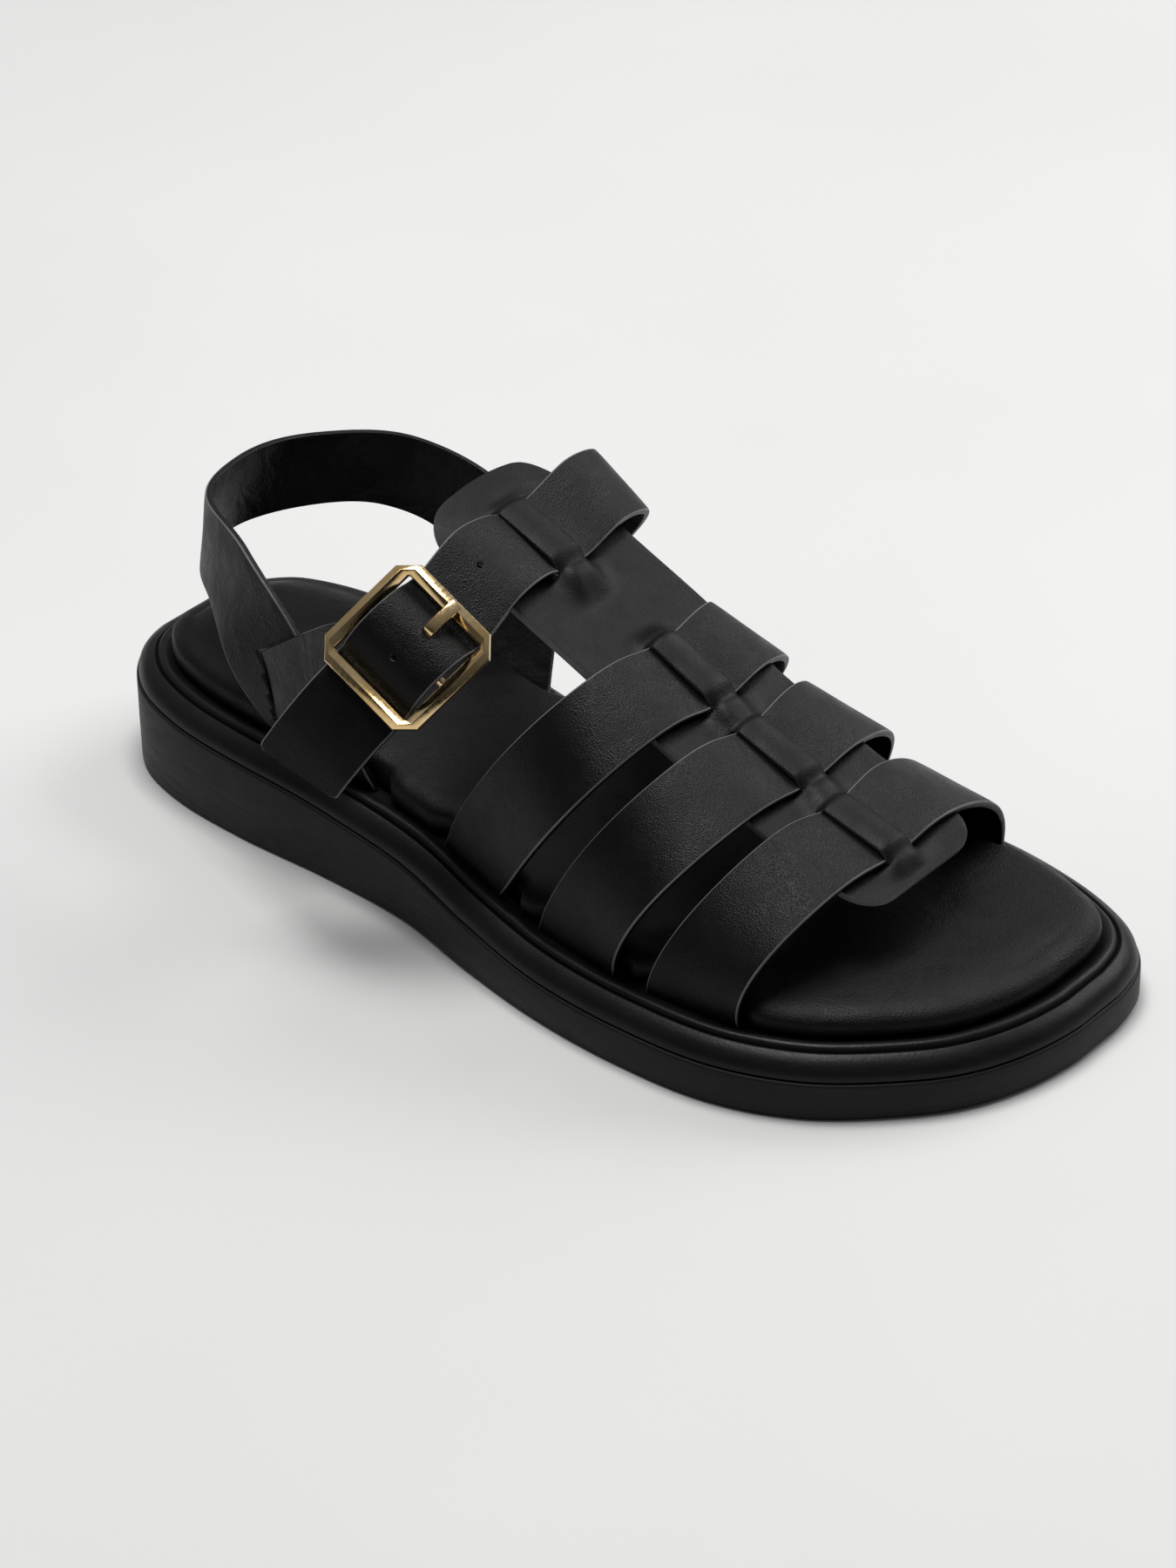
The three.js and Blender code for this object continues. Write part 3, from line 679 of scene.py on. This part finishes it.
INK, COAL = (0.0025, 0.0025, 0.003), (0.0048, 0.0048, 0.0053)
STRAP = leather("strap_leather", INK, COAL, 0.38, 3000, 0.42)
STRIP_SKIN = leather("strip_leather", INK, COAL, 0.44, 3000, 0.25)
LINING = leather(
    "strap_lining", (0.0035, 0.0035, 0.004), (0.010, 0.010, 0.0105), 0.4, 1500, 0.35, 0.9
)
# Light grey for the straps' rounded rims and the strip's cut sides: the edges' own colour lightened
# into painted highlight lines where glossy edges catch the light.
EDGE_AND_HIGHLIGHT = leather("cut_edge_and_highlight", (0.09, 0.09, 0.093), (0.15, 0.15, 0.155), 0.34, 2600, 0.12)
BAND_SKIN = leather(
    "band_leather", (0.0035, 0.0035, 0.004), (0.0065, 0.0065, 0.0072), 0.43, 2000, 0.5, 0.3
)
SOCK = leather(
    "footbed_leather", (0.0022, 0.0022, 0.0024), (0.0042, 0.0042, 0.0044), 0.45, 2600, 0.4
)
SOLE = rubber("sole_rubber", (0.0055, 0.0055, 0.0058), (0.0085, 0.0085, 0.0088), 0.5, 0.3, 0.5)
BAND_RUBBER = rubber("welt_rubber", (0.004, 0.004, 0.0043), (0.007, 0.007, 0.0073), 0.38, 0.5, 0.3)
GOLD = gold("buckle_gold")
STRAP_SET = [STRAP, EDGE_AND_HIGHLIGHT, LINING]

# ----------------------------------------------------------------------- sole
sole_rings = [
    ring_at(2.2, under),
    ring_at(1.2, under),
    ring_at(0.35, lambda y: under(y) + 0.35),
    ring_at(0.0, lambda y: under(y) + 1.2),
    ring_at(-0.05, lambda y: (under(y) + wall(y)) / 2),
    ring_at(0.0, lambda y: wall(y) - 0.7),
    ring_at(0.12, lambda y: wall(y) - 0.25),
    ring_at(0.5, wall),
    ring_at(3.0, wall),
]
outsole = stack("outsole_unit", sole_rings, [SOLE])
tread = []
for station in TREAD_GROOVES:
    inner, outer = (side_x(station, side, GROOVE_INSET) for side in (-1, 1))
    box = [
        Vector((x, station + dy, z))
        for x in (inner, outer)
        for dy in (-GROOVE_HALF, GROOVE_HALF)
        for z in (-GROOVE_DEPTH, under(station) + GROOVE_DEPTH)
    ]
    sides = [(0, 1, 3, 2), (4, 6, 7, 5), (0, 4, 5, 1), (2, 3, 7, 6), (0, 2, 6, 4), (1, 5, 7, 3)]
    groove = add_mesh(f"groove_{len(tread)}", box, sides, [SOLE])
    cut(outsole, groove)
    tread.append(groove)
drop(*tread)
piece(outsole, "outsole")

welt_rings = []
for k, (inset, rise) in enumerate(WELT):
    push = -BEAD_GIVE * smooth((k - BEAD_ROW) / 3)
    welt_rings.append(ring_at(inset, lambda y, r=rise: wall(y) + r, push))
welt = stack("welt_bead", welt_rings, [BAND_RUBBER])
piece(welt, "welt")


def bed_rise(y, t):
    """Shape of the footbed's top: nearly flat across, falling away near its edges."""
    return column(HEIGHTS, y, 4) * (1 - abs(2 * t - 1) ** 3.2)


bed_rings = [ring_at(i, lambda y, r=r: wall(y) + r, BED_NOTCH) for i, r in BED_SIDE]
for k, (inset, dip) in enumerate(BED_SHOULDER):
    bed_rings.append(ring_at(inset, lambda y, d=dip: bed(y) - d, BED_NOTCH - BED_NOTCH_STEP * k))
footbed = stack("footbed_pad", bed_rings, [SOCK], bed_rise, columns=22)
piece(footbed, "footbed")


# ---------------------------------------------------------------- centre strip
def bridge_middle(i):
    return (BRIDGES[i][2] + BRIDGES[i][3]) / 2


def sampled(points):
    return [spline(points, k / 4) for k in range(4 * (len(points) - 1) + 1)]


ARCH_STEPS = 56
STRAP_EDGES = [tuple(sampled([Vector(row[k]) for row in ANKLE]) for k in (0, 1))]
for number, pair in enumerate(VAMP):
    STRAP_EDGES.append(
        tuple(arch_edge(edge, bridge_middle(number + 1), ARCH_STEPS) for edge in pair)
    )


def strip_rear_camber(x, y):
    """The rear tab bends down towards its two sides."""
    mid = (STRIP["inner"] + STRIP["outer"]) / 2
    t = (x - mid) / ((STRIP["outer"] - STRIP["inner"]) / 2)
    return smooth((TAB_FROM - y) / TAB_RUN) * (TAB_RISE - TAB_FALL * t * t)


def edge_height(edge, x):
    """Highest point of a strap's edge at an x, or its nearest end beyond it."""
    best = min(edge, key=lambda p: abs(p.x - x)).z
    for p, q in zip(edge, edge[1:]):
        if min(p.x, q.x) <= x <= max(p.x, q.x) and p.x != q.x:
            best = max(best, p.z + (q.z - p.z) * (x - p.x) / (q.x - p.x))
    return best


def strap_height(n, x, share):
    """Height of the strap through bridge n; share runs from its rear edge to its front one."""
    rear, front = STRAP_EDGES[n]
    return edge_height(rear, x) * (1 - share) + edge_height(front, x) * share


def tip_lift(n, x, y, base):
    """How far bridge n pulls the whole strip up at a point, most at its slits' ends."""
    rear, front, inner, outer = BRIDGES[n]
    middle, half = (inner + outer) / 2, (outer - inner) / 2
    gap = max(rear - y, y - front, 0.0)
    before = min(TENT[1], TENT_SHARE * (STRIP["front"] - front))
    fall = 1 - smooth(gap / (TENT[0] if y < rear else before))
    if fall <= 0:
        return 0.0
    share = min(max((y - rear) / (front - rear), 0.0), 1.0)
    ridge = 1 / (1 + (abs(x - middle) / half / RIDGE_REACH) ** 4)
    return max(strap_crest(n, share) + SLIT_TIP - base, 0.0) * ridge * fall


def strap_crest(n, share):
    inner, outer = BRIDGES[n][2:]
    return max(strap_height(n, inner + (outer - inner) * k / 4, share) for k in range(5))


def under_strap(n, x, share):
    """Upright distance from a strap's middle to a strip lying clear under it."""
    across = strap_height(n, x + 0.5, share) - strap_height(n, x - 0.5, share)
    along = strap_height(n, x, 1) - strap_height(n, x, 0)
    run = BRIDGES[n][1] - BRIDGES[n][0]
    return UNDER * math.sqrt(1 + across**2 + (along / run) ** 2)


def bridge_height(n, x, y, lane, base):
    """Height of the strip's top: over the strap in a bridge's middle lane, under it beside."""
    rear, front, inner, outer = BRIDGES[n]
    tip = base + math.hypot(*(tip_lift(k, x, y, base) for k in range(len(BRIDGES))))
    if not rear < y < front:
        return tip
    share = (y - rear) / (front - rear)
    opened = smooth(min(y - rear, front - y) / SLIT_RUN)
    u = (2 * x - inner - outer) / (outer - inner)
    if lane == 1:
        return tip + (strap_crest(n, share) + OVER - tip) * opened - DOME * u * u * opened
    low = min(base, strap_height(n, x, share) - under_strap(n, x, share))
    return tip + (low - tip) * opened


def tab_half(y):
    """How far each side of the strip is pulled in, for its rounded corners."""
    r = STRIP["corner"]
    d = min(y - STRIP["rear"], STRIP["front"] - y)
    if d >= r:
        return 0.0
    return r - math.sqrt(max(r * r - (r - d) ** 2, 0.0))


def strip_stations():
    """Stations of the strip's sections: close at its rounded ends, and one at each slit end."""
    close, wide, ends = 0.3, 0.7, 3.0
    stations = [STRIP["rear"] + close * k for k in range(9)]
    stations += [STRIP["front"] - close * k for k in range(9)]
    stations += [end for b in BRIDGES for end in b[:2]]
    y = STRIP["rear"] + ends
    while y < STRIP["front"] - ends:
        if min(abs(y - k) for k in stations) > close:
            stations.append(y)
        y += wide
    return sorted(stations)


def centre_strip():
    """The strip: three lanes side by side, joined except along the slits, then thickened."""
    many = 14
    points, faces = [], []
    lanes_before = None
    for y in strip_stations():
        n = min(range(len(BRIDGES)), key=lambda k: abs((BRIDGES[k][0] + BRIDGES[k][1]) / 2 - y))
        rear, front, inner, outer = BRIDGES[n]
        opened = rear < y < front
        pull = tab_half(y)
        left, right = STRIP["inner"] + pull, STRIP["outer"] - pull
        base = column(STRIP_TOP, y, 1)
        cuts = [left, max(inner, left + 0.2), min(outer, right - 0.2), right]
        lanes = []
        for lane in range(3):
            a, b = cuts[lane], cuts[lane + 1]
            ids = []
            for k in range(many + 1):
                if lane and k == 0 and not opened:
                    ids.append(lanes[-1][-1])
                    continue
                x = a + (b - a) * k / many
                z = bridge_height(n, x, y, lane, base + strip_rear_camber(x, y))
                if opened and lane == 1:
                    x += SLIT_GAP * (1 - 2 * k / many) * min(1.0, min(y - rear, front - y) / 2)
                ids.append(len(points))
                points.append(Vector((x, y, z)))
            lanes.append(ids)
        if lanes_before:
            for before, after in zip(lanes_before, lanes):
                for k in range(many):
                    faces.append((before[k], before[k + 1], after[k + 1], after[k]))
        lanes_before = lanes
    obj = add_mesh("centre_strip", points, faces, [STRIP_SKIN, EDGE_AND_HIGHLIGHT, LINING], sharp=180)
    made = bmesh.new()
    made.from_mesh(obj.data)
    bmesh.ops.remove_doubles(made, verts=made.verts, dist=1e-6)
    for f in made.faces:
        if f.normal.z < 0:
            f.normal_flip()
    made.to_mesh(obj.data)
    made.free()
    shell = obj.modifiers.new("thickness", "SOLIDIFY")
    shell.thickness = STRIP_LEATHER * MM
    shell.offset = -1
    shell.use_even_offset = False
    # The strip's cut sides and bevelled rims take the light grey edge colour, a painted highlight
    # line along its edges.
    shell.material_offset_rim = 1
    shell.material_offset = 2
    soft = obj.modifiers.new("edge", "BEVEL")
    soft.width = RIM * MM
    soft.segments = 2
    soft.material = 1
    soft.limit_method = "ANGLE"
    soft.angle_limit = math.radians(50)
    apply_modifiers(obj)
    obj.data.set_sharp_from_angle(angle=math.radians(45))
    return obj


strip = centre_strip()
piece(strip, "upper")

# ----------------------------------------------------------------- vamp straps
# Steps along the straps and across their faces.
VAMP_STEPS, ANKLE_STEPS, BAND_STEPS, TIE_STEPS = 224, 330, 260, 120
ACROSS, TIE_ACROSS = 16, 14

for number, (rear_edge, front_edge) in enumerate(STRAP_EDGES[1:], 1):
    rows = list(zip(rear_edge, front_edge))
    strap = ribbon(f"vamp_strap_{number}", rows, VAMP_STEPS, LEATHER, STRAP_SET, ACROSS)
    piece(strap, "upper")


# ------------------------------------------------------- heel band and buckle
def strap_rows():
    half = ANKLE_WIDTH / 2
    rows = [(at_buckle(-half, d, o), at_buckle(half, d, o)) for d, o in TAIL]
    rows[0][0].xyz += (rows[0][0] - rows[1][0]).normalized() * TAIL_SLANT
    return rows + [(Vector(a), Vector(b)) for a, b in ANKLE]


def end_rows():
    half = BUCKLE_STRAP_WIDTH / 2
    rows = [(Vector(b), Vector(a)) for a, b in BUCKLE_STRAP]
    for down, out, shift in BUCKLE_STRAP_END:
        rows.append((at_buckle(shift + half, down, out), at_buckle(shift - half, down, out)))
    return rows


def band_lift(s, t):
    """Shallow waves round the heel band."""
    return 0.22 * math.sin(46 * s + 1.5 * t) * math.sin(math.pi * s) * (0.6 + 0.4 * t)


BAND_SET = [BAND_SKIN, EDGE_AND_HIGHLIGHT, LINING]
ankle = ribbon("ankle_strap", strap_rows(), ANKLE_STEPS, LEATHER, STRAP_SET, ACROSS, end=1.5)
band = ribbon("heel_band", BAND, BAND_STEPS, LEATHER, BAND_SET, ACROSS, lift=band_lift)
tie = ribbon("tie_strap", end_rows(), TIE_STEPS, TIE_LEATHER, STRAP_SET, TIE_ACROSS)

# The heel band's slits: room cut for the two straps that go through it.
SLIT_ROOM, ROOM_STEPS = 0.5, 30
tie_room = ribbon("tie_room", end_rows()[:4], ROOM_STEPS, TIE_LEATHER, [EDGE_AND_HIGHLIGHT], spread=SLIT_ROOM)
ankle_room = ribbon(
    "ankle_room", strap_rows()[-4:], ROOM_STEPS, LEATHER, [EDGE_AND_HIGHLIGHT], spread=SLIT_ROOM
)
cut(band, tie_room)
cut(band, ankle_room)
drop(tie_room, ankle_room)


def punch(strap, point, out, radius=HOLE_RADIUS):
    """A round hole through a strap, along its thickness."""
    made = bmesh.new()
    turn = out.to_track_quat("Z", "Y").to_matrix().to_4x4()
    bmesh.ops.create_cone(
        made,
        cap_ends=True,
        segments=20,
        radius1=radius * MM,
        radius2=radius * MM,
        depth=9 * MM,
        matrix=Matrix.Translation(place(point)) @ turn,
    )
    mesh = bpy.data.meshes.new("punch")
    made.to_mesh(mesh)
    made.free()
    cutter = bpy.data.objects.new("punch", mesh)
    cutter.data.materials.append(EDGE_AND_HIGHLIGHT)
    bpy.context.scene.collection.objects.link(cutter)
    cut(strap, cutter)
    drop(cutter)


# A free hole inside the buckle, the prong's hole, and a free hole between buckle and instep.
punch(ankle, at_buckle(0.3, 3.4, 2.6), OUT + DOWN * 0.35)
punch(ankle, at_buckle(PRONG_ALONG, -5.4, 1.8), OUT, PRONG_HOLE_RADIUS)
punch(ankle, Vector((21.0, -17.4, 87.6)), Vector((0.1, 0.45, 0.9)))
piece(ankle, "upper")
piece(band, "upper")
piece(tie, "buckle_strap")


def buckle_frame():
    """A square frame with clipped corners: a raised outer rim and a face that falls inwards."""
    outer = SIDE / 2
    inner = OPENING / 2
    # Section: share of the way in from the outer edge, height off the middle plane.
    section = [
        (0.07, -1.4), (0.0, -1.2), (0.0, 0.30), (0.035, 0.52), (0.08, 0.62), (0.43, 1.28),
        (0.48, 1.34), (0.53, 1.28), (0.94, 0.48), (0.98, 0.34), (1.0, 0.15), (1.0, -1.2),
        (0.93, -1.4),
    ]
    points, faces = [], []
    span = outer - inner
    for share, height in section:
        size = outer - share * span
        clip = CLIP * (1 - share) + 0.25 * share
        corners = [
            (size, size - clip), (size - clip, size), (clip - size, size), (-size, size - clip),
            (-size, clip - size), (clip - size, -size), (size - clip, -size), (size, clip - size),
        ]
        for a, d in corners:
            points.append(at_buckle(a, d, height))
    many = len(section)
    for k in range(many):
        for i in range(8):
            j = (i + 1) % 8
            n = (k + 1) % many
            faces.append((k * 8 + i, k * 8 + j, n * 8 + j, n * 8 + i))
    return add_mesh("square_buckle", points, faces, [GOLD], sharp=28)


def rod(name, start, stop, radius, materials):
    """A round bar between two points, with rounded ends."""
    axis = (stop - start).normalized()
    side = axis.orthogonal().normalized()
    other = axis.cross(side)
    length = (stop - start).length
    points, faces = [], []
    rounds = [(0.0, 0.75), (0.25, 1.0), (length - 0.25, 1.0), (length, 0.75)]
    many = 20
    for along, share in rounds:
        for k in range(many):
            a = 2 * math.pi * k / many
            arm = (side * math.cos(a) + other * math.sin(a)) * radius * share
            points.append(start + axis * along + arm)
    for r in range(len(rounds) - 1):
        for k in range(many):
            j = (k + 1) % many
            faces.append((r * many + k, r * many + j, (r + 1) * many + j, (r + 1) * many + k))
    faces.append(tuple(reversed(range(many))))
    faces.append(tuple(range(3 * many, 4 * many)))
    return add_mesh(name, points, faces, materials)


frame_piece = buckle_frame()
piece(frame_piece, "buckle_frame")
bar_ends = [at_buckle(along, 0, BAR_OUT) for along in (-BAR_HALF, BAR_HALF)]
bar = rod("buckle_bar", *bar_ends, BAR_RADIUS, [GOLD])
piece(bar, "buckle_frame")


def prong():
    points, faces = [], []
    centre = [Vector((down, out, 0)) for down, out, _ in PRONG]
    fine = 6
    steps = (len(PRONG) - 1) * fine
    many = 12
    for i in range(steps + 1):
        where = i / fine
        p = spline(centre, min(where, len(PRONG) - 1))
        q = spline(centre, min(where + 0.02, len(PRONG) - 1)) - spline(centre, max(where - 0.02, 0))
        q.normalize()
        row = min(int(where), len(PRONG) - 2)
        t = where - row
        wide = PRONG[row][2] * (1 - t) + PRONG[row + 1][2] * t
        for k in range(many):
            a = 2 * math.pi * (k + 0.5) / many
            u = wide * abs(math.cos(a)) ** PRONG_SQUARE * (1 if math.cos(a) > 0 else -1)
            v = PRONG_HALF * abs(math.sin(a)) ** PRONG_SQUARE * (1 if math.sin(a) > 0 else -1)
            points.append(at_buckle(PRONG_ALONG + u, p.x - q.y * v, p.y + q.x * v))
        if i:
            for k in range(many):
                j = (k + 1) % many
                base = (i - 1) * many
                faces.append((base + k, base + j, base + many + j, base + many + k))
    faces.append(tuple(reversed(range(many))))
    faces.append(tuple(range(steps * many, (steps + 1) * many)))
    return add_mesh("prong_pin", points, faces, [GOLD], sharp=30)


piece(prong(), "buckle_prong")

# ------------------------------------------------------------- floor and light
# Half the floor's width, and the point that the lamps are aimed at, in metres.
FLOOR_HALF = 6
LAMP_TARGET = Vector((0, 0, 0.04))

floor_mesh = bpy.data.meshes.new("floor")
floor_turns = [(-1, -1), (1, -1), (1, 1), (-1, 1)]
floor_corners = [(x * FLOOR_HALF, y * FLOOR_HALF, 0) for x, y in floor_turns]
floor_mesh.from_pydata(floor_corners, [], [(0, 1, 2, 3)])
floor_mesh.materials.append(floor_paint("floor_paint"))
floor = bpy.data.objects.new("floor", floor_mesh)
bpy.context.scene.collection.objects.link(floor)


def softbox(name, at, size, power):
    """A rectangular lamp aimed at the shoe, with its place and size in metres."""
    lamp = bpy.data.lights.new(name, "AREA")
    lamp.shape = "RECTANGLE"
    lamp.size, lamp.size_y = size
    lamp.energy = power
    obj = bpy.data.objects.new(name, lamp)
    obj.location = at
    obj.rotation_mode = "QUATERNION"
    obj.rotation_quaternion = (LAMP_TARGET - Vector(at)).to_track_quat("-Z", "Y")
    bpy.context.scene.collection.objects.link(obj)


softbox("key", (-1.35, 0.35, 1.0), (1.2, 0.8), 12.5)
softbox("overhead", (-0.05, -0.15, 1.6), (0.75, 0.75), 20.5)


def studio_sky(toward, dark, light, strength):
    """A soft gradient all round, lightest in one direction."""
    world = bpy.data.worlds.new("studio")
    bpy.context.scene.world = world
    world.use_nodes = True
    nodes, links = world.node_tree.nodes, world.node_tree.links
    facing = nodes.new("ShaderNodeVectorMath")
    facing.operation = "DOT_PRODUCT"
    facing.inputs[1].default_value = Vector(toward).normalized()
    links.new(nodes.new("ShaderNodeTexCoord").outputs["Generated"], facing.inputs[0])
    share = spread_value(nodes, links, facing.outputs["Value"], 0.0, 1.0, -0.6, 1.0)
    colour = two_tone(nodes, links, share, dark, light, 0.0, 1.0)
    links.new(colour, nodes["Background"].inputs["Color"])
    nodes["Background"].inputs["Strength"].default_value = strength


studio_sky((-0.62, -0.35, 0.70), (0.015, 0.015, 0.016), (0.85, 0.87, 0.90), 0.36)
bpy.context.scene.view_settings.view_transform = "Standard"

# --------------------------------------------------------------------- camera
# The photo's camera: its place in mm, the way it looks and its upright, and the point, in
# metres, that it is then turned to.
CAMERA_AT = Vector((743.0, 610.2, 632.4))
GAZE = Vector((-0.69821, -0.52674, -0.48481)).normalized()
UPRIGHT = Vector((-0.38369, -0.29638, 0.87461)).normalized()
LOOK_AT = Vector((0.002, 0.002, 0.030))

lens = bpy.data.cameras.new("camera")
lens.sensor_width = 36
lens.lens = 112
camera = bpy.data.objects.new("camera", lens)
eye = place(CAMERA_AT)
basis = Matrix((GAZE.cross(UPRIGHT), UPRIGHT, -GAZE)).transposed()
turn = GAZE.rotation_difference((LOOK_AT - eye).normalized())
camera.location = eye
camera.rotation_mode = "QUATERNION"
camera.rotation_quaternion = turn @ basis.to_quaternion()
bpy.context.scene.collection.objects.link(camera)
bpy.context.scene.camera = camera
